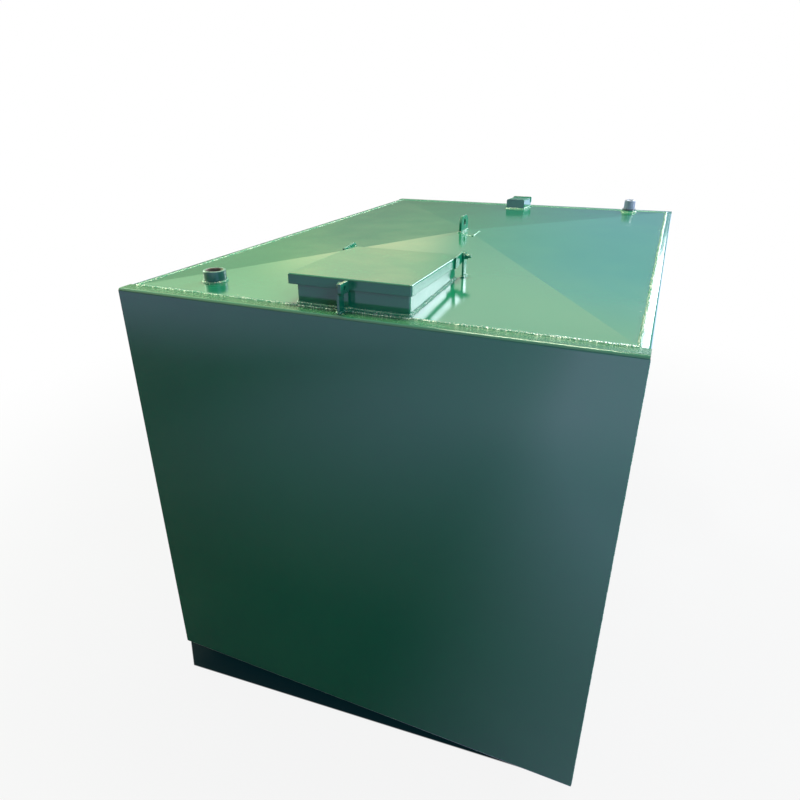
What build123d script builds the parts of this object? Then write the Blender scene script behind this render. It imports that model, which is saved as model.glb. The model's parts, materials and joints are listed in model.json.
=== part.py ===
from build123d import *

import math
import os

# Bunded waste oil tank: a welded inner tank that stands inside a closed outer tank.
# Millimetres. X runs along the front, the front faces -Y, and Z is up.
# The origin is on the floor, under the middle of the tank.

# Outer tank, which catches what the inner tank may leak
tank_width = 1300.0
tank_length = 1950.0
wall_height = 1250.0
plate_thickness = 4.0
fold_radius = 4.0
end_flange = 45.0
side_flange = 22.0
bottom_flange = 40.0
plate_gap = 0.5
roof_rise = 33.0

# Channels under both tanks
ground_clearance = 50.0
bearer_flange = 50.0
bearer_end_gap = 2.0
bearer_spacing = 720.0
bearer_count = 3
inner_bearer_height = 50.0
inner_bearer_inset = 40.0
inner_bearer_spacing = 640.0

# Inner tank
inner_gap = 60.0
inner_thickness = 4.0
headroom = 96.0

# Welds
seam_width = 11.0
seam_height = 2.6
seam_rounding = 2.3
corner_seam_width = 7.0
corner_seam_height = 1.6
weld_leg = 5.0
weld_taper = 44.0
weld_clearance = 0.3

# Square filling neck and its lid, which sits a little off its middle
neck_x = 4.0
neck_width = 288.0
neck_length = 320.0
neck_thickness = 3.0
neck_corner = 4.0
neck_from_front = 60.0
neck_above_flange = 62.0
neck_clearance = 0.3
lid_thickness = 3.0
lid_corner = 4.0
lid_left_gap = 17.0
lid_right_gap = 4.0
lid_front_gap = 5.0
lid_rear_gap = 12.0
skirt_depth = 25.0
seal_width = 8.0
seal_thickness = 6.7
seal_clearance = 0.3

# Hinge of the lid
pin_behind_lid = 12.0
pin_below_lid_top = 6.0
pin_radius = 4.0
pin_clearance = 0.3
lug_thickness = 5.0
lug_eye_radius = 13.0
lug_reach = 50.0
lug_depth = 28.0
lug_above_lid = 2.0
post_thickness = 5.0
post_width = 24.0
post_gap = 0.8
bolt_head_gap = 0.3
bolt_head_height = 5.3
bolt_across_flats = 13.0
nut_height = 6.8
thread_corner = 0.8
washer_radius = 8.0
washer_thickness = 1.6
thread_end = 7.0

# Locking ears at the front of the lid
ear_thickness = 8.0
ear_length = 40.0
ear_depth = 25.0
ear_below_lid_top = 3.0
ear_corner = 6.0
ear_x = -2.0
ear_hole_radius = 5.0
ear_hole_from_lid = 20.0
ear_hole_below_top = 12.0
ear_post_thickness = 6.0
ear_post_width = 24.0
ear_post_gap = 1.5

# Lifting eye at the top of the roof
eye_x = -11.0
eye_y = -15.0
eye_thickness = 8.0
eye_width = 76.0
eye_height = 52.0
eye_corner = 26.0
eye_hole_radius = 11.0
eye_hole_height = 30.0

# Pipe connection for sucking the oil out
suction_from_left = 200.0
suction_from_front = 148.0
socket_radius = 30.0
socket_bore_radius = 22.4
socket_above_roof = 30.0
socket_below_roof = 18.0
socket_edge = 1.5
pipe_radius = 24.15
pipe_wall = 3.25
pipe_clearance = 0.2
suction_foot_gap = 45.0

# Vent box at the rear
vent_x = -8.0
vent_from_rear = 62.0
vent_width = 80.0
vent_height = 40.0
vent_length = 150.0
vent_wall = 3.0
vent_corner = 6.0
vent_lip_depth = 22.0
vent_lip_length = 12.0
vent_lip_wall = 2.5
vent_pipe_from_end = 75.0
vent_pipe_stand = 5.0
mesh_thickness = 1.0
mesh_inset = 4.0
mesh_hole_radius = 2.4
mesh_pitch = 7.0
mesh_columns = 10
mesh_rows = 4

# Contents gauge: a float climbs a twisted strip and turns the pointer
gauge_from_right = 175.0
gauge_from_rear = 115.0
standpipe_radius = 27.5
standpipe_above_roof = 10.0
gauge_thread_depth = 18.0
gauge_thread_gap = 0.2
gauge_collar_radius = 27.5
gauge_collar_height = 5.0
gauge_head_radius = 23.5
gauge_head_draft = 1.2
gauge_head_height = 36.0
gauge_shoulder = 4.0
dial_radius = 15.0
dial_depth = 7.0
dial_thickness = 1.0
glass_ledge = 2.0
glass_thickness = 3.5
glass_edge = 1.2
glass_gap = 0.2
spindle_radius = 2.0
spindle_gap = 0.3
pointer_length = 12.0
pointer_width = 3.0
pointer_thickness = 1.0
pointer_hub_radius = 4.0
pointer_lift = 2.0
pointer_taper = 84.0
strip_width = 8.0
strip_thickness = 1.2
strip_twist = 270.0
strip_section_turn = 9.0
guide_rod_radius = 2.5
guide_rod_offset = 15.0
guide_foot_radius = 20.0
guide_foot_height = 13.0
guide_foot_thickness = 3.0
float_radius = 21.0
float_height = 60.0
float_bore_radius = 7.0
float_rod_gap = 0.5
float_rest_gap = 0.3
float_top_gap = 6.0
follower_radius = 10.0
follower_thickness = 1.5
follower_gap = 0.4

# Heights and places that follow from the sizes above
half_width = tank_width / 2
half_length = tank_length / 2
flange_top = ground_clearance + wall_height
outer_fold = fold_radius + plate_thickness
floor_top = ground_clearance + 2 * plate_thickness
roof_width = tank_width - 2 * (side_flange + plate_gap)
roof_length = tank_length - 2 * (end_flange + plate_gap)
inner_width = tank_width - 2 * inner_gap
inner_length = tank_length - 2 * inner_gap
inner_bottom = floor_top + inner_bearer_height
inner_top = flange_top - plate_thickness - headroom

neck_front = -half_length + neck_from_front
neck_rear = neck_front + neck_length
neck_y = (neck_front + neck_rear) / 2
neck_top = flange_top + neck_above_flange
lid_underside = neck_top + seal_clearance + seal_thickness
lid_top = lid_underside + lid_thickness
lid_x = neck_x + (lid_right_gap - lid_left_gap) / 2
lid_width = neck_width + lid_left_gap + lid_right_gap + 2 * lid_thickness
lid_side = lid_x + lid_width / 2
hinge_middle = Plane.YZ.offset(lid_x)
lid_front = neck_front - lid_front_gap - lid_thickness
lid_rear = neck_rear + lid_rear_gap + lid_thickness
lid_length = lid_rear - lid_front
lid_y = (lid_front + lid_rear) / 2
pin_y = lid_rear + pin_behind_lid
pin_z = lid_top - pin_below_lid_top

suction_x = -half_width + suction_from_left
suction_y = -half_length + suction_from_front
gauge_x = half_width - gauge_from_right
gauge_y = half_length - gauge_from_rear
vent_rear = half_length - vent_from_rear
vent_pipe_y = vent_rear - vent_pipe_from_end

slope = math.atan2(roof_rise, roof_length / 2)
front_slope = Plane(
    origin=(0, -roof_length / 2, flange_top),
    x_dir=(1, 0, 0),
    z_dir=(0, -math.sin(slope), math.cos(slope)),
)
rear_slope = Plane(
    origin=(0, roof_length / 2, flange_top),
    x_dir=(1, 0, 0),
    z_dir=(0, math.sin(slope), math.cos(slope)),
)


def save(piece, label):
    """Name a finished piece and write it to its own file."""
    piece.part.label = label
    export_step(piece.part, f"parts/{label}.step")


def roof_height(x, y):
    """Height of the top face of the roof above the floor, at one place in plan."""
    across = 1 - abs(x) / (roof_width / 2)
    along = 1 - abs(y) / (roof_length / 2)
    return flange_top + roof_rise * min(across, along)


def roof_pyramid(lowered):
    """The low pyramid under the top face of the roof, moved down by a distance."""
    base = flange_top - lowered
    ridge = base + roof_rise
    with BuildPart() as pyramid:
        with BuildSketch(Plane.YZ):
            Polygon((-roof_length / 2, base), (roof_length / 2, base), (0, ridge), align=None)
        extrude(amount=roof_width / 2, both=True)
        with BuildSketch(Plane.XZ):
            Polygon((-roof_width / 2, base), (roof_width / 2, base), (0, ridge), align=None)
        extrude(amount=roof_length / 2, both=True, mode=Mode.INTERSECT)
    return pyramid.part


def flat_plate(label, width, length, height, centre):
    """A flat rectangular plate of a given size about its centre."""
    with BuildPart() as plate:
        with Locations(centre):
            Box(width, length, height)
    save(plate, label)


def channels(label, spacing, base, height, length, thickness):
    """A set of folded channels that lie across the tank, side by side."""
    first = -spacing * (bearer_count - 1) / 2
    with BuildPart() as bearers:
        for place in range(bearer_count):
            web = first + place * spacing - bearer_flange / 2
            with BuildSketch(Plane.YZ):
                with BuildLine():
                    FilletPolyline(
                        (web + bearer_flange, base + height),
                        (web, base + height),
                        (web, base),
                        (web + bearer_flange, base),
                        radius=outer_fold,
                    )
                    offset(amount=thickness, side=Side.LEFT)
                make_face()
            extrude(amount=length / 2, both=True)
    save(bearers, label)


def mirrored(piece, plane, label):
    """The same piece on the other side of a plane."""
    with BuildPart() as twin:
        mirror(piece.part, about=plane)
    save(twin, label)


def round_weld(slope_plane, x, y, radius, label):
    """A bead where an upright pipe stands on the sloping roof."""
    height = roof_height(x, y)
    foot = Plane(origin=(x, y, height), x_dir=(1, 0, 0), z_dir=slope_plane.z_dir)
    with BuildPart() as bead:
        with BuildSketch(foot):
            Circle(radius + weld_leg)
        extrude(amount=weld_leg, taper=weld_taper)
        with Locations((x, y, height)):
            Cylinder(radius, 4 * weld_leg, mode=Mode.SUBTRACT)
    save(bead, label)


os.makedirs("parts", exist_ok=True)

roof_space = roof_pyramid(0)
space_under_roof_plate = roof_pyramid(plate_thickness)

# Front and rear panels: each is one plate, folded inwards at its top and its bottom
with BuildPart() as front_panel:
    with BuildSketch(Plane.YZ):
        with BuildLine():
            FilletPolyline(
                (-half_length + end_flange, flange_top),
                (-half_length, flange_top),
                (-half_length, ground_clearance),
                (-half_length + bottom_flange, ground_clearance),
                radius=outer_fold,
            )
            offset(amount=plate_thickness, side=Side.LEFT)
        make_face()
    extrude(amount=half_width, both=True)
save(front_panel, "front_panel")
mirrored(front_panel, Plane.XZ, "rear_panel")

# Side panels: folded the same way, and notched where they meet the end panels' flanges
with BuildPart() as right_panel:
    with BuildSketch(Plane.XZ):
        with BuildLine():
            FilletPolyline(
                (half_width - side_flange, flange_top),
                (half_width, flange_top),
                (half_width, ground_clearance),
                (half_width - bottom_flange, ground_clearance),
                radius=outer_fold,
            )
            offset(amount=plate_thickness, side=Side.RIGHT)
        make_face()
    extrude(amount=half_length - plate_thickness, both=True)
    for end in (-1, 1):
        with Locations((half_width, end * half_length, flange_top)):
            Box(4 * side_flange, 2 * (end_flange + plate_gap), 2 * plate_thickness, mode=Mode.SUBTRACT)
            Box(4 * side_flange, 2 * outer_fold, 2 * outer_fold, mode=Mode.SUBTRACT)
        with Locations((half_width, end * half_length, ground_clearance)):
            Box(4 * bottom_flange, 2 * (bottom_flange + plate_gap), 2 * plate_thickness, mode=Mode.SUBTRACT)
            Box(4 * bottom_flange, 2 * outer_fold, 2 * outer_fold, mode=Mode.SUBTRACT)
save(right_panel, "right_panel")
mirrored(right_panel, Plane.YZ, "left_panel")

# Floor of the outer tank, lying on the bottom flanges
floor_width = tank_width - 2 * (outer_fold + plate_gap)
floor_length = tank_length - 2 * (outer_fold + plate_gap)
floor_z = floor_top - plate_thickness / 2
flat_plate("bund_floor", floor_width, floor_length, plate_thickness, (0, 0, floor_z))

# Roof: one plate creased along its diagonals, so that it rises to the middle
with BuildPart() as roof_plate:
    with BuildSketch(Plane.XY.offset(flange_top - plate_thickness)):
        Rectangle(roof_width, roof_length)
    extrude(amount=plate_thickness)
    add(roof_space)
    add(space_under_roof_plate, mode=Mode.SUBTRACT)
    with Locations((neck_x, neck_y, flange_top)):
        Box(
            neck_width + 2 * neck_clearance,
            neck_length + 2 * neck_clearance,
            4 * roof_rise,
            mode=Mode.SUBTRACT,
        )
    with Locations((suction_x, suction_y, flange_top)):
        Cylinder(socket_radius + pipe_clearance, 4 * roof_rise, mode=Mode.SUBTRACT)
    with Locations((gauge_x, gauge_y, flange_top)):
        Cylinder(standpipe_radius + pipe_clearance, 4 * roof_rise, mode=Mode.SUBTRACT)
    with Locations((vent_x, vent_pipe_y, flange_top)):
        Cylinder(pipe_radius + pipe_clearance, 4 * roof_rise, mode=Mode.SUBTRACT)
save(roof_plate, "roof_plate")

# Bead round the roof, over the joint between the roof and the flanges
ear_post_y = lid_front - ear_hole_from_lid
ear_post_x = ear_x - ear_thickness / 2 - ear_post_gap - ear_post_thickness / 2
with BuildPart() as roof_seam_weld:
    with BuildSketch(Plane.XY.offset(flange_top)):
        Rectangle(roof_width + plate_gap + seam_width, roof_length + plate_gap + seam_width)
        Rectangle(
            roof_width + plate_gap - seam_width,
            roof_length + plate_gap - seam_width,
            mode=Mode.SUBTRACT,
        )
    extrude(amount=seam_height)
    fillet(roof_seam_weld.edges().group_by(Axis.Z)[-1], radius=seam_rounding)
    add(roof_space, mode=Mode.SUBTRACT)
    with Locations((ear_post_x, ear_post_y, flange_top)):
        Box(
            ear_post_thickness + 2 * (weld_leg + weld_clearance),
            ear_post_width + 2 * (weld_leg + weld_clearance),
            4 * seam_height,
            mode=Mode.SUBTRACT,
        )
save(roof_seam_weld, "roof_seam_weld")

# Beads down the four upright corners, on the joints between end panels and side panels
with BuildPart() as corner_seam_welds:
    for side in (-1, 1):
        for end in (-1, 1):
            seam_y = end * (half_length - plate_thickness)
            with BuildSketch(Plane.XY.offset(ground_clearance + outer_fold)):
                with Locations((side * half_width, seam_y)):
                    Ellipse(corner_seam_height, corner_seam_width / 2)
                with Locations((0, seam_y)):
                    Rectangle(tank_width, 2 * corner_seam_width, mode=Mode.SUBTRACT)
            extrude(amount=wall_height - 2 * outer_fold)
save(corner_seam_welds, "corner_seam_welds")

# Channels that lift the outer tank off the ground, and the inner tank off its floor
bearer_length = tank_width - 2 * (bottom_flange + bearer_end_gap)
ground_to_floor = ground_clearance + plate_thickness
channels("ground_bearers", bearer_spacing, 0, ground_to_floor, bearer_length, plate_thickness)
inner_bearer_length = inner_width - 2 * inner_bearer_inset
channels(
    "inner_tank_bearers",
    inner_bearer_spacing,
    floor_top,
    inner_bearer_height,
    inner_bearer_length,
    plate_thickness,
)

# Inner tank: six flat plates welded at their edges
inner_wall_height = inner_top - inner_bottom - 2 * inner_thickness
inner_wall_z = (inner_top + inner_bottom) / 2
inner_end_y = (inner_length - inner_thickness) / 2
inner_side_x = (inner_width - inner_thickness) / 2
inner_side_length = inner_length - 2 * inner_thickness
flat_plate(
    "inner_floor",
    inner_width,
    inner_length,
    inner_thickness,
    (0, 0, inner_bottom + inner_thickness / 2),
)
flat_plate(
    "inner_front_wall",
    inner_width,
    inner_thickness,
    inner_wall_height,
    (0, -inner_end_y, inner_wall_z),
)
flat_plate(
    "inner_rear_wall",
    inner_width,
    inner_thickness,
    inner_wall_height,
    (0, inner_end_y, inner_wall_z),
)
flat_plate(
    "inner_left_wall",
    inner_thickness,
    inner_side_length,
    inner_wall_height,
    (-inner_side_x, 0, inner_wall_z),
)
flat_plate(
    "inner_right_wall",
    inner_thickness,
    inner_side_length,
    inner_wall_height,
    (inner_side_x, 0, inner_wall_z),
)
with BuildPart() as inner_top_plate:
    with BuildSketch(Plane.XY.offset(inner_top - inner_thickness)):
        Rectangle(inner_width, inner_length)
        with Locations((neck_x, neck_y)):
            Rectangle(
                neck_width - 2 * neck_thickness,
                neck_length - 2 * neck_thickness,
                mode=Mode.SUBTRACT,
            )
        with Locations((suction_x, suction_y), (vent_x, vent_pipe_y)):
            Circle(pipe_radius + pipe_clearance, mode=Mode.SUBTRACT)
        with Locations((gauge_x, gauge_y)):
            Circle(standpipe_radius + pipe_clearance, mode=Mode.SUBTRACT)
    extrude(amount=inner_thickness)
save(inner_top_plate, "inner_top_plate")

# Filling neck: it stands on the inner tank and comes up through the roof
with BuildPart() as hatch_neck:
    with BuildSketch(Plane.XY.offset(inner_top)):
        with Locations((neck_x, neck_y)):
            RectangleRounded(neck_width, neck_length, neck_corner)
            RectangleRounded(
                neck_width - 2 * neck_thickness,
                neck_length - 2 * neck_thickness,
                neck_corner - neck_thickness,
                mode=Mode.SUBTRACT,
            )
    extrude(amount=neck_top - inner_top)
save(hatch_neck, "hatch_neck")

with BuildPart() as hatch_neck_weld:
    with BuildSketch(front_slope):
        with Locations((neck_x, (neck_y + roof_length / 2) / math.cos(slope))):
            Rectangle(neck_width + 2 * weld_leg, neck_length + 2 * weld_leg)
    extrude(amount=weld_leg, taper=weld_taper)
    with Locations((neck_x, neck_y, flange_top)):
        Box(neck_width, neck_length, 4 * roof_rise, mode=Mode.SUBTRACT)
save(hatch_neck_weld, "hatch_neck_weld")

# Lid: a shallow tray turned upside down over the neck
with BuildPart() as hatch_lid:
    with Locations((lid_x, lid_y, lid_top - skirt_depth / 2)):
        Box(lid_width, lid_length, skirt_depth)
    fillet(hatch_lid.edges().filter_by(Axis.Z), radius=lid_corner)
    fillet(hatch_lid.edges().group_by(Axis.Z)[-1], radius=lid_corner)
    offset(amount=-lid_thickness, openings=hatch_lid.faces().sort_by(Axis.Z)[0])
save(hatch_lid, "hatch_lid")

# Rubber strip glued inside the lid, over the edge of the neck
with BuildPart() as hatch_lid_seal:
    with BuildSketch(Plane.XY.offset(neck_top + seal_clearance)):
        with Locations((neck_x, neck_y)):
            Rectangle(
                neck_width - neck_thickness + seal_width,
                neck_length - neck_thickness + seal_width,
            )
            Rectangle(
                neck_width - neck_thickness - seal_width,
                neck_length - neck_thickness - seal_width,
                mode=Mode.SUBTRACT,
            )
    extrude(amount=seal_thickness)
save(hatch_lid_seal, "hatch_lid_seal")

# Hinge lugs, welded to the sides of the lid
lug_front = lid_rear - lug_reach
lug_top = lid_top + lug_above_lid
with BuildPart() as hinge_lug_right:
    with BuildSketch(Plane.YZ.offset(lid_side)):
        with Locations((pin_y, pin_z)):
            Circle(lug_eye_radius)
        with Locations((lug_front + lug_thickness / 2, lug_top - lug_depth / 2)):
            Rectangle(lug_thickness, lug_depth)
        make_hull()
        with Locations((pin_y, pin_z)):
            Circle(pin_radius + pin_clearance, mode=Mode.SUBTRACT)
    extrude(amount=lug_thickness)
save(hinge_lug_right, "hinge_lug_right")
mirrored(hinge_lug_right, hinge_middle, "hinge_lug_left")

# Hinge posts, welded to the roof outside the lugs
post_inner_x = lid_side + lug_thickness + post_gap
with BuildPart() as hinge_post_right:
    with BuildSketch(Plane.YZ.offset(post_inner_x)):
        with Locations((pin_y, (flange_top + pin_z) / 2)):
            Rectangle(post_width, pin_z - flange_top)
        with Locations((pin_y, pin_z)):
            Circle(post_width / 2)
            Circle(pin_radius + pin_clearance, mode=Mode.SUBTRACT)
    extrude(amount=post_thickness)
    add(roof_space, mode=Mode.SUBTRACT)
save(hinge_post_right, "hinge_post_right")
mirrored(hinge_post_right, hinge_middle, "hinge_post_left")

with BuildPart() as hinge_post_welds:
    for side in (-1, 1):
        post_x = lid_x + side * (post_inner_x + post_thickness / 2 - lid_x)
        with BuildSketch(front_slope):
            with Locations((post_x, (pin_y + roof_length / 2) / math.cos(slope))):
                Rectangle(post_thickness + 2 * weld_leg, post_width + 2 * weld_leg)
        extrude(amount=weld_leg, taper=weld_taper)
        with Locations((post_x, pin_y, roof_height(post_x, pin_y))):
            Box(post_thickness, post_width, 4 * weld_leg, mode=Mode.SUBTRACT)
save(hinge_post_welds, "hinge_post_welds")

# Hinge bolts: the head is inside the lug, and the washer and nut are outside the post
bolt_head_face = lid_side - bolt_head_gap
post_outer_x = post_inner_x + post_thickness
nut_face = post_outer_x + washer_thickness
with BuildPart() as hinge_bolt_right:
    with BuildSketch(Plane.YZ.offset(bolt_head_face - bolt_head_height)):
        with Locations((pin_y, pin_z)):
            RegularPolygon(bolt_across_flats / 2, 6, major_radius=False)
    extrude(amount=bolt_head_height)
    with BuildSketch(Plane.YZ.offset(bolt_head_face)):
        with Locations((pin_y, pin_z)):
            Circle(pin_radius)
    extrude(amount=nut_face + nut_height + thread_end - bolt_head_face)
    chamfer(hinge_bolt_right.edges().sort_by(Axis.X)[-1], length=thread_corner)
save(hinge_bolt_right, "hinge_bolt_right")
mirrored(hinge_bolt_right, hinge_middle, "hinge_bolt_left")

with BuildPart() as hinge_washer_right:
    with BuildSketch(Plane.YZ.offset(post_outer_x)):
        with Locations((pin_y, pin_z)):
            Circle(washer_radius)
            Circle(pin_radius + pin_clearance, mode=Mode.SUBTRACT)
    extrude(amount=washer_thickness)
save(hinge_washer_right, "hinge_washer_right")
mirrored(hinge_washer_right, hinge_middle, "hinge_washer_left")

with BuildPart() as hinge_nut_right:
    with BuildSketch(Plane.YZ.offset(nut_face)):
        with Locations((pin_y, pin_z)):
            RegularPolygon(bolt_across_flats / 2, 6, major_radius=False)
            Circle(pin_radius, mode=Mode.SUBTRACT)
    extrude(amount=nut_height)
save(hinge_nut_right, "hinge_nut_right")
mirrored(hinge_nut_right, hinge_middle, "hinge_nut_left")

# Locking ears: one on the lid and one on the front flange, for a padlock through both
ear_top = lid_top - ear_below_lid_top
ear_hole_z = ear_top - ear_hole_below_top
with BuildPart() as lid_ear:
    with BuildSketch(Plane.YZ.offset(ear_x - ear_thickness / 2)) as ear_outline:
        with Locations((lid_front - ear_length / 2, ear_top - ear_depth / 2)):
            Rectangle(ear_length, ear_depth)
        fillet(ear_outline.vertices().group_by(Axis.Y)[0].sort_by(Axis.X)[0], radius=ear_corner)
        with Locations((ear_post_y, ear_hole_z)):
            Circle(ear_hole_radius, mode=Mode.SUBTRACT)
    extrude(amount=ear_thickness)
save(lid_ear, "lid_ear")

with BuildPart() as ear_post:
    with BuildSketch(Plane.YZ.offset(ear_post_x - ear_post_thickness / 2)):
        with Locations((ear_post_y, (flange_top + ear_hole_z) / 2)):
            Rectangle(ear_post_width, ear_hole_z - flange_top)
        with Locations((ear_post_y, ear_hole_z)):
            Circle(ear_post_width / 2)
            Circle(ear_hole_radius, mode=Mode.SUBTRACT)
    extrude(amount=ear_post_thickness)
save(ear_post, "ear_post")

with BuildPart() as ear_post_weld:
    with BuildSketch(Plane.XY.offset(flange_top)):
        with Locations((ear_post_x, ear_post_y)):
            Rectangle(ear_post_thickness + 2 * weld_leg, ear_post_width + 2 * weld_leg)
    extrude(amount=weld_leg, taper=weld_taper)
    with Locations((ear_post_x, ear_post_y, flange_top)):
        Box(ear_post_thickness, ear_post_width, 4 * weld_leg, mode=Mode.SUBTRACT)
    add(roof_space, mode=Mode.SUBTRACT)
save(ear_post_weld, "ear_post_weld")

# Lifting eye, a plate on edge at the top of the roof
eye_top = flange_top + roof_rise + eye_height
with BuildPart() as lifting_eye:
    with BuildSketch(Plane.YZ.offset(eye_x - eye_thickness / 2)) as eye_outline:
        with Locations((eye_y, (flange_top + eye_top) / 2)):
            Rectangle(eye_width, eye_top - flange_top)
        fillet(eye_outline.vertices().group_by(Axis.Y)[-1], radius=eye_corner)
        with Locations((eye_y, flange_top + roof_rise + eye_hole_height)):
            Circle(eye_hole_radius, mode=Mode.SUBTRACT)
    extrude(amount=eye_thickness)
    add(roof_space, mode=Mode.SUBTRACT)
save(lifting_eye, "lifting_eye")

with BuildPart() as lifting_eye_weld:
    with BuildSketch(Plane.XY.offset(roof_height(eye_x, eye_y - eye_width / 2 - weld_leg))):
        with Locations((eye_x, eye_y)):
            Rectangle(eye_thickness + 2 * weld_leg, eye_width + 2 * weld_leg)
    extrude(amount=weld_leg, taper=weld_taper)
    with Locations((eye_x, eye_y, flange_top + roof_rise)):
        Box(eye_thickness, eye_width, 4 * weld_leg, mode=Mode.SUBTRACT)
    add(roof_space, mode=Mode.SUBTRACT)
save(lifting_eye_weld, "lifting_eye_weld")

# Suction connection: a threaded socket on the roof, and the pipe that hangs from it
socket_roof_z = roof_height(suction_x, suction_y)
socket_top = socket_roof_z + socket_above_roof
socket_bottom = socket_roof_z - socket_below_roof
suction_plane = Plane(origin=(suction_x, suction_y, 0), x_dir=(1, 0, 0), z_dir=(0, -1, 0))
suction_axis = Axis((suction_x, suction_y, 0), (0, 0, 1))
with BuildPart() as suction_socket:
    with BuildSketch(suction_plane):
        with BuildLine():
            Polyline(
                (socket_bore_radius + socket_edge, socket_top),
                (socket_radius - socket_edge, socket_top),
                (socket_radius, socket_top - socket_edge),
                (socket_radius, socket_bottom),
                (pipe_radius + pipe_clearance, socket_bottom),
                (pipe_radius + pipe_clearance, socket_roof_z),
                (socket_bore_radius, socket_roof_z),
                (socket_bore_radius, socket_top - socket_edge),
                close=True,
            )
        make_face()
    revolve(axis=suction_axis)
save(suction_socket, "suction_socket")

with BuildPart() as suction_pipe:
    with BuildSketch(Plane.XY.offset(inner_bottom + inner_thickness + suction_foot_gap)):
        with Locations((suction_x, suction_y)):
            Circle(pipe_radius)
            Circle(pipe_radius - pipe_wall, mode=Mode.SUBTRACT)
    extrude(amount=socket_roof_z - inner_bottom - inner_thickness - suction_foot_gap)
save(suction_pipe, "suction_pipe")
round_weld(front_slope, suction_x, suction_y, socket_radius, "suction_socket_weld")

# Vent: a length of box section on the rear slope of the roof, open towards the rear
vent_slope_y = (vent_rear - roof_length / 2) / math.cos(slope)
vent_up = rear_slope.z_dir
vent_forward = -rear_slope.y_dir
vent_rear_foot = rear_slope.from_local_coords(Vector(vent_x, vent_slope_y, 0))
vent_rear_centre = vent_rear_foot + vent_up * (vent_height / 2)


def vent_section(distance):
    """A plane across the vent box, at a distance in front of its open rear end."""
    return Plane(
        origin=vent_rear_centre + vent_forward * distance,
        x_dir=(1, 0, 0),
        z_dir=vent_forward,
    )


with BuildPart() as vent_box:
    with BuildSketch(vent_section(0)):
        RectangleRounded(vent_width, vent_height, vent_corner)
        RectangleRounded(
            vent_width - 2 * vent_wall,
            vent_height - 2 * vent_wall,
            vent_corner - vent_wall,
            mode=Mode.SUBTRACT,
        )
    extrude(amount=vent_length - vent_wall)
    with Locations((vent_x, vent_pipe_y, flange_top)):
        Cylinder(pipe_radius + pipe_clearance, vent_height, mode=Mode.SUBTRACT)
save(vent_box, "vent_box")

with BuildPart() as vent_end_plate:
    with BuildSketch(vent_section(vent_length - vent_wall)):
        RectangleRounded(vent_width, vent_height, vent_corner)
    extrude(amount=vent_wall)
save(vent_end_plate, "vent_end_plate")

with BuildPart() as vent_mesh:
    with BuildSketch(vent_section(mesh_inset)):
        RectangleRounded(
            vent_width - 2 * vent_wall,
            vent_height - 2 * vent_wall,
            vent_corner - vent_wall,
        )
        with GridLocations(mesh_pitch, mesh_pitch, mesh_columns, mesh_rows):
            Circle(mesh_hole_radius, mode=Mode.SUBTRACT)
    extrude(amount=mesh_thickness)
save(vent_mesh, "vent_mesh")

with BuildPart() as vent_lip:
    with BuildSketch(vent_section(0)) as lip_outline:
        with Locations((0, (vent_height - vent_lip_depth + vent_lip_wall) / 2)):
            Rectangle(vent_width + 2 * vent_lip_wall, vent_lip_depth + vent_lip_wall)
        fillet(lip_outline.vertices().group_by(Axis.Y)[-1], radius=vent_corner)
        RectangleRounded(vent_width, vent_height, vent_corner, mode=Mode.SUBTRACT)
    extrude(amount=vent_lip_length)
save(vent_lip, "vent_lip")

with BuildPart() as vent_pipe:
    with BuildSketch(Plane.XY.offset(inner_top - inner_thickness)):
        with Locations((vent_x, vent_pipe_y)):
            Circle(pipe_radius)
            Circle(pipe_radius - pipe_wall, mode=Mode.SUBTRACT)
    vent_pipe_top = roof_height(vent_x, vent_pipe_y) + vent_wall + vent_pipe_stand
    extrude(amount=vent_pipe_top - inner_top + inner_thickness)
save(vent_pipe, "vent_pipe")

with BuildPart() as vent_box_weld:
    with BuildSketch(rear_slope):
        with Locations((vent_x, vent_slope_y - vent_length / 2)):
            Rectangle(vent_width + 2 * weld_leg, vent_length + 2 * weld_leg)
    extrude(amount=weld_leg, taper=weld_taper)
    with BuildSketch(vent_section(0)):
        RectangleRounded(vent_width, vent_height, vent_corner)
    extrude(amount=vent_length, mode=Mode.SUBTRACT)
save(vent_box_weld, "vent_box_weld")

# Contents gauge: its standpipe joins the top of the inner tank to the roof
gauge_roof_z = roof_height(gauge_x, gauge_y)
standpipe_top = gauge_roof_z + standpipe_above_roof
gauge_plane = Plane(origin=(gauge_x, gauge_y, standpipe_top), x_dir=(1, 0, 0), z_dir=(0, -1, 0))
gauge_axis = Axis((gauge_x, gauge_y, 0), (0, 0, 1))
with BuildPart() as gauge_standpipe:
    with BuildSketch(Plane.XY.offset(inner_top - inner_thickness)):
        with Locations((gauge_x, gauge_y)):
            Circle(standpipe_radius)
            Circle(socket_bore_radius, mode=Mode.SUBTRACT)
    extrude(amount=standpipe_top - inner_top + inner_thickness)
save(gauge_standpipe, "gauge_standpipe")
round_weld(rear_slope, gauge_x, gauge_y, standpipe_radius, "gauge_standpipe_weld")

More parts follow.
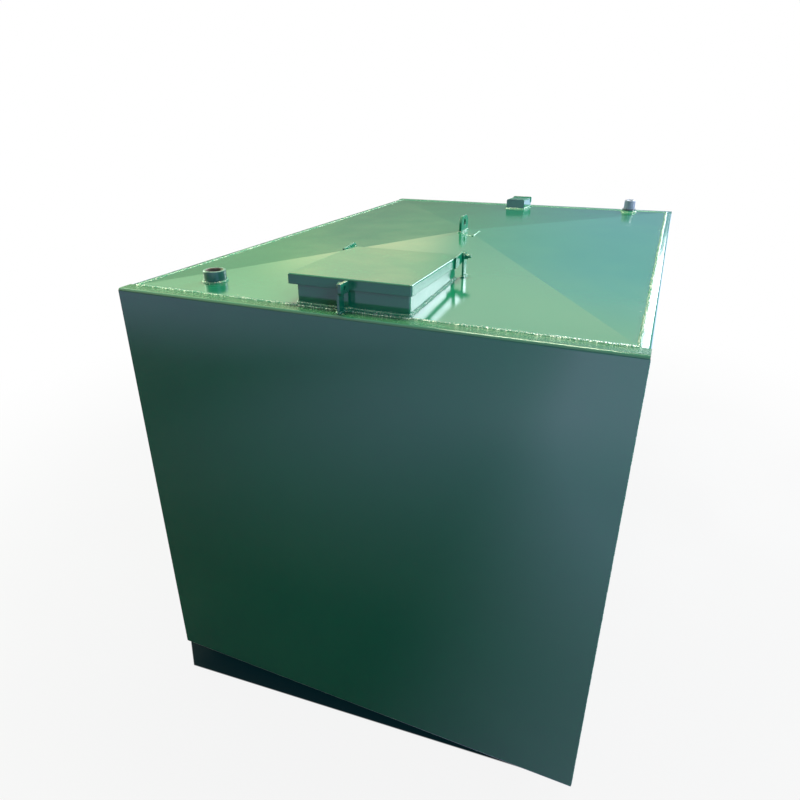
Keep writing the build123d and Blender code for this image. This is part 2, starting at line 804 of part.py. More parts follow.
# Gauge head: threaded plug, collar and round body with the dial recess in its top
head_top = gauge_collar_height + gauge_head_height
dial_floor = head_top - glass_ledge - dial_depth
glass_radius = dial_radius + glass_ledge
with BuildPart() as gauge_head:
    with BuildSketch(gauge_plane):
        with BuildLine():
            Polyline(
                (spindle_radius + spindle_gap, dial_floor),
                (spindle_radius + spindle_gap, -gauge_thread_depth),
                (socket_bore_radius - gauge_thread_gap, -gauge_thread_depth),
                (socket_bore_radius - gauge_thread_gap, 0),
                (gauge_collar_radius, 0),
                (gauge_collar_radius, gauge_collar_height),
                (gauge_head_radius, gauge_collar_height),
                (gauge_head_radius - gauge_head_draft, head_top),
                (glass_radius + glass_gap, head_top),
                (glass_radius + glass_gap, head_top - glass_ledge),
                (dial_radius, head_top - glass_ledge),
                (dial_radius, dial_floor),
                close=True,
            )
        make_face()
    revolve(axis=gauge_axis)
    rim = gauge_head.edges().filter_by(GeomType.CIRCLE).group_by(Axis.Z)[-1]
    fillet(rim.sort_by(SortBy.RADIUS)[-1], radius=gauge_shoulder)
save(gauge_head, "gauge_head")

with BuildPart() as gauge_dial:
    with BuildSketch(Plane.XY.offset(standpipe_top + dial_floor)):
        with Locations((gauge_x, gauge_y)):
            Circle(dial_radius - glass_gap)
            Circle(spindle_radius + spindle_gap, mode=Mode.SUBTRACT)
    extrude(amount=dial_thickness)
save(gauge_dial, "gauge_dial")

# Glass of the dial, standing a little above the head
with BuildPart() as gauge_glass:
    with BuildSketch(Plane.XY.offset(standpipe_top + head_top - glass_ledge)):
        with Locations((gauge_x, gauge_y)):
            Circle(glass_radius)
    extrude(amount=glass_thickness)
    chamfer(gauge_glass.edges().group_by(Axis.Z)[-1], length=glass_edge)
save(gauge_glass, "gauge_glass")

# Guide under the head: two rods and the foot that holds them apart
guide_top = standpipe_top - gauge_thread_depth
guide_foot_z = inner_bottom + inner_thickness + guide_foot_height
rod_places = ((gauge_x - guide_rod_offset, gauge_y), (gauge_x + guide_rod_offset, gauge_y))
for side, place in zip(("left", "right"), rod_places):
    with BuildPart() as guide_rod:
        with BuildSketch(Plane.XY.offset(guide_foot_z)):
            with Locations(place):
                Circle(guide_rod_radius)
        extrude(amount=guide_top - guide_foot_z)
    save(guide_rod, f"gauge_guide_rod_{side}")

with BuildPart() as gauge_guide_foot:
    with BuildSketch(Plane.XY.offset(guide_foot_z - guide_foot_thickness)):
        with Locations((gauge_x, gauge_y)):
            Circle(guide_foot_radius)
            Circle(spindle_radius + spindle_gap, mode=Mode.SUBTRACT)
    extrude(amount=guide_foot_thickness)
save(gauge_guide_foot, "gauge_guide_foot")

# Float: a foam cylinder with a slotted follower on its top, which the strip passes through
float_bottom = guide_foot_z + float_rest_gap
float_top = float_bottom + float_height
float_travel = inner_top - inner_thickness - float_top_gap - follower_thickness - float_top
with BuildPart() as gauge_float:
    with BuildSketch(Plane.XY.offset(float_bottom)):
        with Locations((gauge_x, gauge_y)):
            Circle(float_radius)
            Circle(float_bore_radius, mode=Mode.SUBTRACT)
        with Locations(*rod_places):
            Circle(guide_rod_radius + float_rod_gap, mode=Mode.SUBTRACT)
    extrude(amount=float_height)
save(gauge_float, "gauge_float")

with BuildPart() as gauge_follower:
    with BuildSketch(Plane.XY.offset(float_top)):
        with Locations((gauge_x, gauge_y)):
            Circle(follower_radius)
            Rectangle(
                strip_width + 2 * follower_gap,
                strip_thickness + 2 * follower_gap,
                mode=Mode.SUBTRACT,
            )
    extrude(amount=follower_thickness)
save(gauge_follower, "gauge_follower")

# Twisted strip: it turns by strip_twist over the travel of the float, and lies square to
# the follower's slot at the height where the follower rests
strip_bottom = guide_foot_z + float_rest_gap
strip_length = guide_top - float_rest_gap - strip_bottom
twist_per_length = strip_twist / float_travel
strip_sections = math.ceil(twist_per_length * strip_length / strip_section_turn)
pointer_z = standpipe_top + dial_floor + dial_thickness + pointer_lift
with BuildPart() as gauge_twisted_strip:
    for section in range(strip_sections + 1):
        section_z = strip_bottom + strip_length * section / strip_sections
        turn = twist_per_length * (section_z - float_top - follower_thickness / 2)
        with BuildSketch(Plane.XY.offset(section_z)):
            with Locations((gauge_x, gauge_y)):
                Rectangle(strip_width, strip_thickness, rotation=turn)
    loft(ruled=True)
    with BuildSketch(Plane.XY.offset(guide_foot_z - guide_foot_thickness)):
        with Locations((gauge_x, gauge_y)):
            Circle(spindle_radius)
    extrude(amount=guide_foot_thickness + 2 * float_rest_gap)
    with BuildSketch(Plane.XY.offset(guide_top - 2 * float_rest_gap)):
        with Locations((gauge_x, gauge_y)):
            Circle(spindle_radius)
    extrude(amount=pointer_z - guide_top + 2 * float_rest_gap)
save(gauge_twisted_strip, "gauge_twisted_strip")

with BuildPart() as gauge_pointer:
    with BuildSketch(Plane.XY.offset(pointer_z)):
        with Locations((gauge_x, gauge_y)):
            Circle(pointer_hub_radius)
        with Locations((gauge_x - pointer_length / 2, gauge_y)):
            Trapezoid(pointer_width, pointer_length, pointer_taper, rotation=90)
    extrude(amount=pointer_thickness)
save(gauge_pointer, "gauge_pointer")
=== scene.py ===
import json
import math
import random

import bpy
import numpy as np
from mathutils import Matrix, Vector


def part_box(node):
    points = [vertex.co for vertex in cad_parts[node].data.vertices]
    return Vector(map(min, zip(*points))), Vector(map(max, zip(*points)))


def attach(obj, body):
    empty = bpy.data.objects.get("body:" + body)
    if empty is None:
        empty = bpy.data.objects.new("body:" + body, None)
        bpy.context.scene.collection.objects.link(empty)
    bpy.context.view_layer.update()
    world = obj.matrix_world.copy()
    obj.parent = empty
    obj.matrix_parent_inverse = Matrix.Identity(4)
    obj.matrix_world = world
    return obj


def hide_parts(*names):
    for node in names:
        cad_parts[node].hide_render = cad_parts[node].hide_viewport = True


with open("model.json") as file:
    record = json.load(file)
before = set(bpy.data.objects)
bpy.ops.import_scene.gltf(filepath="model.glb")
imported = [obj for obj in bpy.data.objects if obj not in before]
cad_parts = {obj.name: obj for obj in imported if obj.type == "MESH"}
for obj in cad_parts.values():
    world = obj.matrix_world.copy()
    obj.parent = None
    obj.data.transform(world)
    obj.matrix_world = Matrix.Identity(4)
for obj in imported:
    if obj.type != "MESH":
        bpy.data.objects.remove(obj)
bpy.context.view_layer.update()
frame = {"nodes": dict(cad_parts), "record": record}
nodes = frame["nodes"]
joints = {row["name"]: row for row in frame["record"]["behaviour"]["joints"]}

# The camera of the photograph, fitted to the edges of the tank. Metres, degrees and pixels.
CAMERA_PLACE = (0.6349, -2.1426, 1.7127)
CAMERA_YAW = -23.759
CAMERA_PITCH = 25.329
CAMERA_ROLL = 0.451
PICTURE_SIZE = 800
FOCAL_PIXELS = 616.42
CENTRE_PIXEL = (388.76, 402.89)
SENSOR_WIDTH = 36.0

# Weld beads, in metres, and the lengths of the waves in which they sway, swell and drift
SAMPLE = 0.0011
RIPPLE_PITCH = 0.0052
RIPPLE_CURVE = 0.55
RIPPLE_SHARPNESS = 0.8
SWAY_WAVES = (0.41, 0.17, 0.073)
SWELL_WAVES = (0.11, 0.047, 0.021)
SWELL = 0.22
DRIFT_WAVES = (0.06, 0.027)
DRIFT = 0.6 * RIPPLE_PITCH
BEAD_COLUMNS = 9
BEAD_MIDDLE = BEAD_COLUMNS // 2
BEAD_SINK = 0.0005
LEG = 0.005
FILLET_BULGE = 0.7
SEAM_HALF_WIDTH = 0.0052
SEAM_HEIGHT = 0.0026
SEAM_GAP = 0.00025
SEAM_CORNER = 0.006
SEAM_WANDER = 0.0016
CORNER_HALF_WIDTH = 0.0034
CORNER_HEIGHT = 0.0015
CORNER_SAMPLE = 1.6 * SAMPLE

# Spatter: how many drops, how far from the bead's middle, and the drops' own size
SEAM_DROPS = 500
SEAM_DROP_REACH = (-0.016, 0.012)
FOOT_DROPS = 14
FOOT_DROP_REACH = (LEG, 3.2 * LEG)
DROP_RADIUS = (0.0005, 0.0013)
DROP_SQUASH = (0.6, 1.0)
DROP_SINK = 0.0001

# Bolts and threads. A turned end closes on a row of nearly no radius.
M8_RADIUS = 0.004
M8_ACROSS = 0.013
M8_HEAD = 0.0053
M8_PITCH = 0.00125
M8_DEPTH = 0.0007
M8_TIP = 0.0008
HEXAGON_FACE = 0.96
HEXAGON_CHAMFER = 0.0012
CHAMFER_SLOPE = 1.73
PIPE_THREAD_PITCH = 0.00231
PIPE_THREAD_DEPTH = 0.0013
THREAD_ROWS = 6
SOCKET_RADIUS = 0.030
SOCKET_BORE = 0.0224
SOCKET_EDGE = 0.0015
SOCKET_PIPE_PLAY = 0.0002
TURN_STEPS = 72
CLOSING_RADIUS = 0.0001

# The top flanges' lean in degrees: outward on the side panels, inward on the front panel
FLANGE_LEAN = 10.0
FRONT_FLANGE_LEAN = 8.0

# Gauge, with its dial's marks as length and half width, and its figures by their mark
GAUGE_PIPE_RADIUS = 0.0275
GAUGE_RIBS = 20.0
GAUGE_COLLAR = 0.005
DIAL_RADIUS = 0.015
DIAL_SWEEP = 270.0
DIAL_STEPS = 8
DIAL_EDGE = 0.0007
DIAL_LIFT = 0.00005
LONG_MARK = (0.0026, 0.0003)
SHORT_MARK = (0.0015, 0.0002)
FIGURES = ((0, "0"), (4, "1/2"), (8, "1"))
FIGURE_SIZE = 0.0034
FIGURE_INSET = 0.0058

WHITE = (1.0, 1.0, 1.0)

random.seed(7)


class Graph:
    """The nodes of one shader tree, with short calls to add and join them."""

    def __init__(self, tree):
        self.tree = tree

    def add(self, kind, inputs=None, **settings):
        """A new node. Inputs are numbers, colours or the outputs of other nodes."""
        made = self.tree.nodes.new(kind)
        for name, value in settings.items():
            setattr(made, name, value)
        for name, value in (inputs or {}).items():
            self.set(made.inputs[name], value)
        return made

    def set(self, socket, value):
        """Joins another node's output to a socket, or writes a number or colour into it."""
        if isinstance(value, bpy.types.NodeSocket):
            self.tree.links.new(value, socket)
        elif isinstance(value, (tuple, list)) and len(value) == 3 and socket.type == "RGBA":
            socket.default_value = (*value, 1.0)
        else:
            socket.default_value = value

    def parts(self, vector):
        """The X, Y and Z of a vector."""
        return self.add("ShaderNodeSeparateXYZ", {"Vector": vector}).outputs

    def between(self, value, low, high, to_low=0.0, to_high=1.0):
        """Value, stretched so that low becomes to_low and high becomes to_high."""
        ends = {"From Min": low, "From Max": high, "To Min": to_low, "To Max": to_high}
        made = self.add(
            "ShaderNodeMapRange", {"Value": value, **ends}, interpolation_type="SMOOTHSTEP"
        )
        return made.outputs["Result"]

    def maths(self, operation, *values):
        """One step of arithmetic on one value or two."""
        made = self.add("ShaderNodeMath", dict(enumerate(values)), operation=operation)
        return made.outputs["Value"]

    def times(self, first, second):
        """Two values multiplied."""
        return self.maths("MULTIPLY", first, second)

    def plus(self, first, second):
        """Two values added."""
        return self.maths("ADD", first, second)

    def highest(self, first, second):
        """The greater of two values."""
        return self.maths("MAXIMUM", first, second)

    def vector(self, operation, *values, **named):
        """One step of arithmetic on one vector or two."""
        inputs = {**dict(enumerate(values)), **named}
        made = self.add("ShaderNodeVectorMath", inputs, operation=operation)
        return made.outputs["Vector"]

    def mix(self, share, first, second):
        """One colour over another, by a share from 0 to 1."""
        made = self.add("ShaderNodeMix", {0: share, 6: first, 7: second}, data_type="RGBA")
        return made.outputs[2]

    def rays(self):
        """1 for the camera's rays, and 1 for rays that come from a mirror or through glass."""
        path = self.add("ShaderNodeLightPath").outputs
        mirror = self.highest(path["Is Glossy Ray"], path["Is Transmission Ray"])
        return path["Is Camera Ray"], mirror


class Surface(Graph):
    """The nodes of one material."""

    def __init__(self, name):
        self.material = bpy.data.materials.new(name)
        self.material.use_nodes = True
        super().__init__(self.material.node_tree)
        self.shader = self.tree.nodes["Principled BSDF"]
        coordinates = self.add("ShaderNodeTexCoord")
        self.place = coordinates.outputs["Object"]
        self.facing = coordinates.outputs["Normal"]

    def noise(self, scale, detail=3.0, roughness=0.5):
        """Noise with a number of features to the metre."""
        settings = {"Scale": scale, "Detail": detail, "Roughness": roughness}
        made = self.add("ShaderNodeTexNoise", {"Vector": self.place, **settings})
        return made.outputs["Fac"]

    def off_axis(self, middle):
        """How far a place lies from an upright axis in x, and in y."""
        place = self.parts(self.place)
        return self.plus(place["X"], -middle[0]), self.plus(place["Y"], -middle[1])

    def bump(self, height, distance, normal=None):
        """The surface's direction after a bump of a height in metres."""
        inputs = {"Height": height, "Distance": distance, "Strength": 1.0}
        if normal:
            inputs["Normal"] = normal
        return self.add("ShaderNodeBump", inputs).outputs["Normal"]

    def rounded(self, radius):
        """The surface's direction, with sharp edges shaded as if they were rounded."""
        return self.add("ShaderNodeBevel", {"Radius": radius}, samples=4).outputs["Normal"]

    def finish(self, **values):
        """Sets the shader's own sockets, whose names have spaces for underlines."""
        for name, value in values.items():
            self.set(self.shader.inputs[name.replace("_", " ")], value)
        return self.material


PAINT = (0.0080, 0.222, 0.104)
PAINT_DEEP = (0.0065, 0.198, 0.097)
PAINT_DUSTY = (0.105, 0.270, 0.135)
PAINT_DRY = (0.058, 0.195, 0.082)
# The next tone is a painted highlight: the pale line on the front panel's lower fold
PAINT_FOLD_HIGHLIGHT = (0.60, 0.68, 0.66)


def gloss_paint(
    name, wave=0.0004, dust=0.15, smooth=0.075, rough=0.125, dry=0.0, lean=None, hem=None
):
    """Sprayed green gloss on steel plate: slightly wavy, with fine orange peel and dust.

    Dry spray and weld dust make a level face paler and duller. The lean, a slope in x and y,
    tips a level face, like a flange folded a little short of square or past it. The hem is
    the height of a lower edge; a pale painted highlight runs just above it, on its fold.
    """
    g = Surface(name)
    cloudy = g.between(g.noise(1.3, 3.0), 0.30, 0.70)
    colour = g.mix(cloudy, PAINT, PAINT_DEEP)
    upward = g.parts(g.facing)["Z"]
    flat = g.between(upward, 0.6, 0.98)
    specks = g.between(g.noise(190.0, 5.0, 0.65), 0.55, 0.78)
    patches = g.between(g.noise(3.5, 5.0, 0.6), 0.35, 0.75)
    dusty = g.times(g.times(flat, dust), g.times(specks, patches))
    colour = g.mix(dusty, colour, PAINT_DUSTY)
    roughness = g.between(g.noise(7.0, 6.0, 0.6), 0.3, 0.7, smooth, rough)
    if dry:
        level = g.between(upward, 0.95, 0.995)
        film = g.times(level, g.between(g.noise(140.0, 4.0, 0.6), 0.35, 0.65, 0.7 * dry, dry))
        colour = g.mix(film, colour, PAINT_DRY)
        roughness = g.plus(roughness, g.times(film, 0.20))
    # Painted highlight: a pale line just above the hem height, standing in for light on the
    # rounded fold
    if hem:
        height = g.parts(g.place)["Z"]
        fold_highlight = g.times(g.between(height, hem + 0.008, hem + 0.005), 0.7)
        colour = g.mix(fold_highlight, colour, PAINT_FOLD_HIGHLIGHT)
    normal = g.rounded(0.0012)
    normal = g.bump(g.noise(2.4, 2.0), wave, normal)
    normal = g.bump(g.noise(330.0, 2.0), 0.00004, normal)
    if lean:
        slope = g.vector("SCALE", (*lean, 0.0), Scale=g.between(upward, 0.97, 0.999))
        normal = g.vector("NORMALIZE", g.vector("ADD", normal, slope))
    return g.finish(Base_Color=colour, Roughness=roughness, Normal=normal)


def vent_paint(name):
    """The vent box's paint: its front face is greyer than the rest."""
    g = Surface(name)
    grey = g.between(g.parts(g.facing)["Y"], -0.6, -0.95)
    cloudy = g.between(g.noise(30.0, 4.0), 0.3, 0.7)
    slate = g.mix(cloudy, (0.110, 0.200, 0.225), (0.090, 0.175, 0.205))
    colour = g.mix(grey, g.mix(cloudy, PAINT, PAINT_DEEP), slate)
    normal = g.bump(g.noise(330.0, 2.0), 0.00004, g.rounded(0.002))
    rough = g.between(g.noise(20.0, 4.0), 0.3, 0.7, 0.12, 0.20)
    return g.finish(Base_Color=colour, Roughness=rough, Normal=normal)


def painted_weld(name, slag_glint_from=0.573):
    """Green paint over a weld bead, with near-white specks: uncovered slag and spatter, and
    painted glints.

    The specks begin where the noise passes the given threshold, and are rarer at the rear.
    """
    g = Surface(name)
    colour = g.mix(g.between(g.noise(60.0, 4.0), 0.4, 0.65), PAINT, PAINT_DEEP)
    slag_glint = g.between(g.noise(370.0, 2.0, 0.6), slag_glint_from, slag_glint_from + 0.02)
    slag_glint = g.times(slag_glint, g.between(g.noise(30.0, 3.0), 0.34, 0.46, 0.5, 1.0))
    slag_glint = g.times(slag_glint, g.between(g.parts(g.place)["Y"], 0.80, 0.93, 1.0, 0.2))
    # Partly painted highlight: the specks' near-white colour stands in for the bead's glints as
    # well as bare slag
    colour = g.mix(slag_glint, colour, (0.93, 0.95, 0.82))
    normal = g.bump(g.noise(900.0, 3.0), 0.00012)
    return g.finish(
        Base_Color=colour,
        Roughness=g.between(slag_glint, 0.0, 1.0, 0.26, 0.42),
        Metallic=g.times(slag_glint, 0.35),
        Normal=normal,
    )


def socket_steel(name, middle):
    """Painted outside, thin worn paint on the rim, and oily brown thread inside."""
    g = Surface(name)
    off_x, off_y = g.off_axis(middle)
    reach = g.maths("SQRT", g.plus(g.times(off_x, off_x), g.times(off_y, off_y)))
    rim = g.between(reach, SOCKET_RADIUS - 0.0003, SOCKET_RADIUS - 0.0012)
    inside = g.between(reach, SOCKET_BORE + 0.0019, SOCKET_BORE + 0.0012)
    chipped = g.between(g.noise(210.0, 4.0, 0.6), 0.42, 0.60)
    cloudy = g.between(g.noise(40.0, 3.0), 0.3, 0.7)
    painted = g.mix(cloudy, (0.060, 0.180, 0.145), (0.045, 0.160, 0.125))
    steel = g.mix(chipped, (0.09, 0.26, 0.19), (0.28, 0.40, 0.35))
    oily = g.between(g.noise(90.0, 5.0), 0.3, 0.7)
    grime = g.mix(oily, (0.19, 0.150, 0.120), (0.10, 0.080, 0.065))
    colour = g.mix(inside, g.mix(rim, painted, steel), grime)
    metal = g.times(inside, 0.3)
    roughness = g.between(inside, 0.0, 1.0, 0.20, 0.55)
    normal = g.bump(g.noise(500.0, 3.0), 0.00005, g.rounded(0.0005))
    return g.finish(Base_Color=colour, Metallic=metal, Roughness=roughness, Normal=normal)


def zinc(name):
    """Bright zinc plate, a little yellowed."""
    g = Surface(name)
    tint = g.between(g.noise(90.0, 4.0), 0.35, 0.65)
    colour = g.mix(tint, (0.50, 0.50, 0.50), (0.46, 0.44, 0.37))
    normal = g.bump(g.noise(1500.0, 2.0), 0.00003, g.rounded(0.0004))
    return g.finish(
        Base_Color=colour,
        Metallic=1.0,
        Roughness=g.between(g.noise(400.0, 3.0), 0.3, 0.7, 0.22, 0.42),
        Normal=normal,
    )


def mill_steel(name):
    """Hot-rolled plate with mill scale, flash rust and oil marks."""
    g = Surface(name)
    scale = g.between(g.noise(14.0, 6.0, 0.65), 0.35, 0.65)
    colour = g.mix(scale, (0.105, 0.110, 0.122), (0.055, 0.056, 0.062))
    rust = g.between(g.noise(22.0, 7.0, 0.7), 0.56, 0.72)
    colour = g.mix(rust, colour, (0.150, 0.065, 0.030))
    normal = g.bump(g.noise(260.0, 5.0, 0.6), 0.0002, g.rounded(0.0006))
    return g.finish(
        Base_Color=colour,
        Metallic=g.between(rust, 0.0, 1.0, 0.85, 0.1),
        Roughness=g.between(rust, 0.0, 1.0, 0.38, 0.75),
        Normal=normal,
    )


def seal_rubber(name):
    """Black rubber with a pale bloom."""
    g = Surface(name)
    bloom = g.between(g.noise(45.0, 5.0), 0.4, 0.7)
    colour = g.mix(bloom, (0.018, 0.018, 0.019), (0.045, 0.045, 0.046))
    normal = g.bump(g.noise(700.0, 4.0), 0.00015, g.rounded(0.0008))
    rough = g.between(bloom, 0.0, 1.0, 0.66, 0.80)
    return g.finish(Base_Color=colour, Roughness=rough, Normal=normal)


def gauge_plastic(name, middle, collar_top):
    """Blue-grey moulded plastic: grip ribs round the head and a darker collar."""
    g = Surface(name)
    off_x, off_y = g.off_axis(middle)
    wave = g.maths("SINE", g.times(g.maths("ARCTAN2", off_y, off_x), GAUGE_RIBS))
    sides = g.between(g.parts(g.facing)["Z"], 0.4, 0.1)
    above = g.between(g.parts(g.place)["Z"], collar_top, collar_top + 0.001)
    ribs = g.times(g.between(wave, -0.3, 0.3), g.times(sides, above))
    cloudy = g.between(g.noise(80.0, 4.0), 0.35, 0.65)
    colour = g.mix(cloudy, (0.225, 0.265, 0.370), (0.185, 0.220, 0.315))
    colour = g.mix(above, (0.060, 0.075, 0.110), colour)
    normal = g.bump(ribs, 0.0009, g.rounded(0.0008))
    normal = g.bump(g.noise(1300.0, 3.0), 0.00004, normal)
    rough = g.between(g.noise(150.0, 3.0), 0.3, 0.7, 0.20, 0.32)
    return g.finish(Base_Color=colour, Roughness=rough, Normal=normal)


def plain_finish(name, first, second, roughness, metallic=0.0):
    """A small inner piece: two close tones, with a fine grain."""
    g = Surface(name)
    colour = g.mix(g.between(g.noise(120.0, 4.0), 0.35, 0.65), first, second)
    normal = g.bump(g.noise(600.0, 3.0), 0.00005, g.rounded(0.0003))
    rough = g.between(g.noise(200.0, 3.0), 0.3, 0.7, roughness * 0.8, roughness * 1.2)
    return g.finish(Base_Color=colour, Metallic=metallic, Roughness=rough, Normal=normal)


def dial_glass(name):
    """Clear gauge glass with faint smears."""
    g = Surface(name)
    rough = g.between(g.noise(60.0, 4.0), 0.45, 0.7, 0.01, 0.09)
    return g.finish(
        Base_Color=(0.95, 0.98, 0.97), Transmission_Weight=1.0, Roughness=rough, IOR=1.47
    )


gauge_low, gauge_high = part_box("gauge_head")
gauge_middle = (gauge_low + gauge_high) / 2
collar_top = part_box("gauge_standpipe")[1].z + GAUGE_COLLAR
socket_low, socket_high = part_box("suction_socket")
socket_middle = (socket_low + socket_high) / 2

paint = gloss_paint("green_gloss_paint")
front_lean = math.tan(math.radians(FRONT_FLANGE_LEAN))
panel_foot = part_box("front_panel")[0].z
panel_paint = gloss_paint(
    "green_panel_paint", dry=0.95, lean=(0.0, front_lean), hem=panel_foot
)
roof_paint = gloss_paint("green_roof_paint", wave=0.0006, dust=0.3, smooth=0.10, rough=0.15)
lid_paint = gloss_paint("green_lid_paint", wave=0.0003, dust=0.9, smooth=0.17, rough=0.24)
flange_lean = math.tan(math.radians(FLANGE_LEAN))
right_flange_paint = gloss_paint("green_right_flange_paint", lean=(flange_lean, 0.0))
left_flange_paint = gloss_paint("green_left_flange_paint", lean=(-flange_lean, 0.0))
weld_paint = painted_weld("green_weld_paint")
foot_weld_paint = painted_weld("green_foot_weld_paint", slag_glint_from=0.63)
socket_finish = socket_steel("pipe_socket_steel", socket_middle)
dial_ink = plain_finish("black_dial_ink", (0.02, 0.02, 0.02), (0.03, 0.03, 0.03), 0.5)
slot_materials = {
    "green_paint": paint,
    "mill_steel": mill_steel("mill_scale_steel"),
    "zinc_steel": zinc("zinc_plate"),
    "gauge_steel": plain_finish(
        "stainless_rod", (0.45, 0.45, 0.46), (0.38, 0.38, 0.40), 0.25, metallic=1.0
    ),
    "seal_rubber": seal_rubber("black_seal_rubber"),
    "gauge_grey": gauge_plastic("grey_gauge_plastic", gauge_middle, collar_top),
    "dial_white": plain_finish("white_dial", (0.78, 0.78, 0.75), (0.74, 0.74, 0.70), 0.35),
    "dial_glass": dial_glass("clear_dial_glass"),
    "float_plastic": plain_finish("black_float_foam", (0.03, 0.03, 0.03), (0.05, 0.05, 0.05), 0.8),
    "strip_brass": plain_finish(
        "brass_strip", (0.62, 0.42, 0.14), (0.52, 0.36, 0.14), 0.3, metallic=1.0
    ),
    "pointer_red": plain_finish("red_pointer", (0.45, 0.02, 0.015), (0.38, 0.02, 0.015), 0.4),
}
vent_finish = vent_paint("green_vent_paint")

# The pieces whose paint differs from that of their slot
own_finish = {
    "roof_plate": roof_paint,
    "hatch_lid": lid_paint,
    "front_panel": panel_paint,
    "vent_box": vent_finish,
    "vent_end_plate": vent_finish,
    "left_panel": left_flange_paint,
    "right_panel": right_flange_paint,
}
slot_of = {row["node"]: row["material_slot"] for row in frame["record"]["subparts"]}
for name, piece in nodes.items():
    piece.data.materials.clear()
    piece.data.materials.append(own_finish.get(name, slot_materials[slot_of[name]]))


def new_piece(name, points, faces, material, node=None, body="tank"):
    """A smooth mesh piece that rides on a body, and may stand for a CAD node."""
    mesh = bpy.data.meshes.new(name)
    mesh.from_pydata(points, [], faces)
    mesh.polygons.foreach_set("use_smooth", [True] * len(mesh.polygons))
    mesh.materials.append(material)
    piece = bpy.data.objects.new(name, mesh)
    bpy.context.scene.collection.objects.link(piece)
    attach(piece, body)
    if node:
        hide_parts(node)
    return piece


def grid_faces(rows, columns, start=0, closed_rows=False, closed_columns=False):
    """Four-sided faces over a grid of points, one row after another."""
    row_count = rows if closed_rows else rows - 1
    column_count = columns if closed_columns else columns - 1
    faces = []
    for row in range(row_count):
        this = start + row * columns
        following = start + (row + 1) % rows * columns
        for column in range(column_count):
            beside = (column + 1) % columns
            faces.append((this + column, this + beside, following + beside, following + column))
    return faces


PLATE_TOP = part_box("front_panel")[1].z
roof_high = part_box("roof_plate")[1]


def roof_z(x, y):
    """Height of the roof's top face at a place in plan."""
    across = 1 - abs(x) / roof_high.x
    along = 1 - abs(y) / roof_high.y
    return PLATE_TOP + (roof_high.z - PLATE_TOP) * max(0.0, min(across, along))


def smooth_noise(distance, total, waves, seed):
    """A wandering value between about -1 and 1 that joins up after a distance."""
    chance = random.Random(seed)
    value = np.zeros_like(distance)
    for wave in waves:
        turns = max(1, round(total / wave))
        phase = chance.uniform(0, math.tau)
        value += np.sin(math.tau * turns * distance / total + phase)
    return value / len(waves)


def rectangle_run(low_x, high_x, low_y, high_y, corner):
    """Points and outward directions round a rectangle with rounded corners."""
    places = []
    outward = []
    corners = (
        (high_x - corner, low_y + corner, -90),
        (high_x - corner, high_y - corner, 0),
        (low_x + corner, high_y - corner, 90),
        (low_x + corner, low_y + corner, 180),
    )
    arc_steps = max(3, math.ceil(corner * math.pi / 2 / SAMPLE))
    for place, (x, y, begin) in enumerate(corners):
        for step in range(arc_steps + 1):
            angle = math.radians(begin + 90 * step / arc_steps)
            outward.append((math.cos(angle), math.sin(angle), 0))
            places.append((x + corner * math.cos(angle), y + corner * math.sin(angle)))
        next_x, next_y, next_begin = corners[(place + 1) % 4]
        turn = math.radians(next_begin)
        end = (next_x + corner * math.cos(turn), next_y + corner * math.sin(turn))
        here = places[-1]
        steps = max(2, math.ceil(math.dist(here, end) / SAMPLE))
        for step in range(1, steps):
            share = step / steps
            x = here[0] + share * (end[0] - here[0])
            places.append((x, here[1] + share * (end[1] - here[1])))
            outward.append(outward[-1])
    return places, outward


def circle_run(middle, radius):
    """Points and outward directions round a circle."""
    steps = math.ceil(math.tau * radius / SAMPLE)
    angles = [math.tau * step / steps for step in range(steps)]
    outward = [(math.cos(a), math.sin(a), 0) for a in angles]
    return [(middle[0] + radius * o[0], middle[1] + radius * o[1]) for o in outward], outward


def bead(places, across, upward, half_width, height, fillet, seed, wander=0.0, closed=True):
    """The points of one weld bead with crescent ripples, and its grid's size.

    A fillet fills the corner between across and upward; a plain bead lies over a seam. In
    both, q runs from -1 to 1 from one edge of the bead to the other.
    """
    places = np.array(places, dtype=float)
    across = np.array(across, dtype=float)
    upward = np.array(upward, dtype=float)
    steps = np.linalg.norm(np.roll(places, -1, axis=0) - places, axis=1)
    distance = np.concatenate(([0.0], np.cumsum(steps[:-1])))
    total = distance[-1] + (steps[-1] if closed else SAMPLE)
    side = np.linspace(-1, 1, BEAD_COLUMNS)
    sway = smooth_noise(distance, total, SWAY_WAVES, seed) * wander
    swell = 1 + SWELL * smooth_noise(distance, total, SWELL_WAVES, seed + 1)
    drift = DRIFT * smooth_noise(distance, total, DRIFT_WAVES, seed + 2)
    count = max(1, round(total / RIPPLE_PITCH))
    pitch = total / count
    rings = []
    for q in side:
        round_q = 1 - q * q
        phase = (distance + drift + RIPPLE_CURVE * half_width * round_q) / pitch
        ripple = np.abs(np.sin(math.pi * phase)) ** RIPPLE_SHARPNESS
        if fillet:
            share = (q + 1) / 2
            out = half_width * (1 - share) * swell
            up = half_width * share * swell
            bulge = half_width * round_q * (0.05 + 0.30 * ripple)
            out = out + bulge * FILLET_BULGE - BEAD_SINK * (q == 1)
            up = up + bulge * FILLET_BULGE - BEAD_SINK * (q == -1)
        else:
            out = q * half_width * (0.9 + 0.1 * swell) + sway
            up = height * np.sqrt(round_q) * swell * (0.45 + 0.55 * ripple)
            up = up - BEAD_SINK * (abs(q) == 1)
        rings.append(places + across * out[:, None] + upward * up[:, None])
    sheet = np.stack(rings, axis=1)
    middle = sheet[0, BEAD_MIDDLE]
    facing = np.cross(sheet[0, BEAD_MIDDLE + 1] - middle, sheet[1, BEAD_MIDDLE] - middle)
    if facing @ (upward[0] + across[0] * fillet) < 0:
        sheet = sheet[:, ::-1]
    return sheet.reshape(-1, 3), (len(places), len(side), closed)


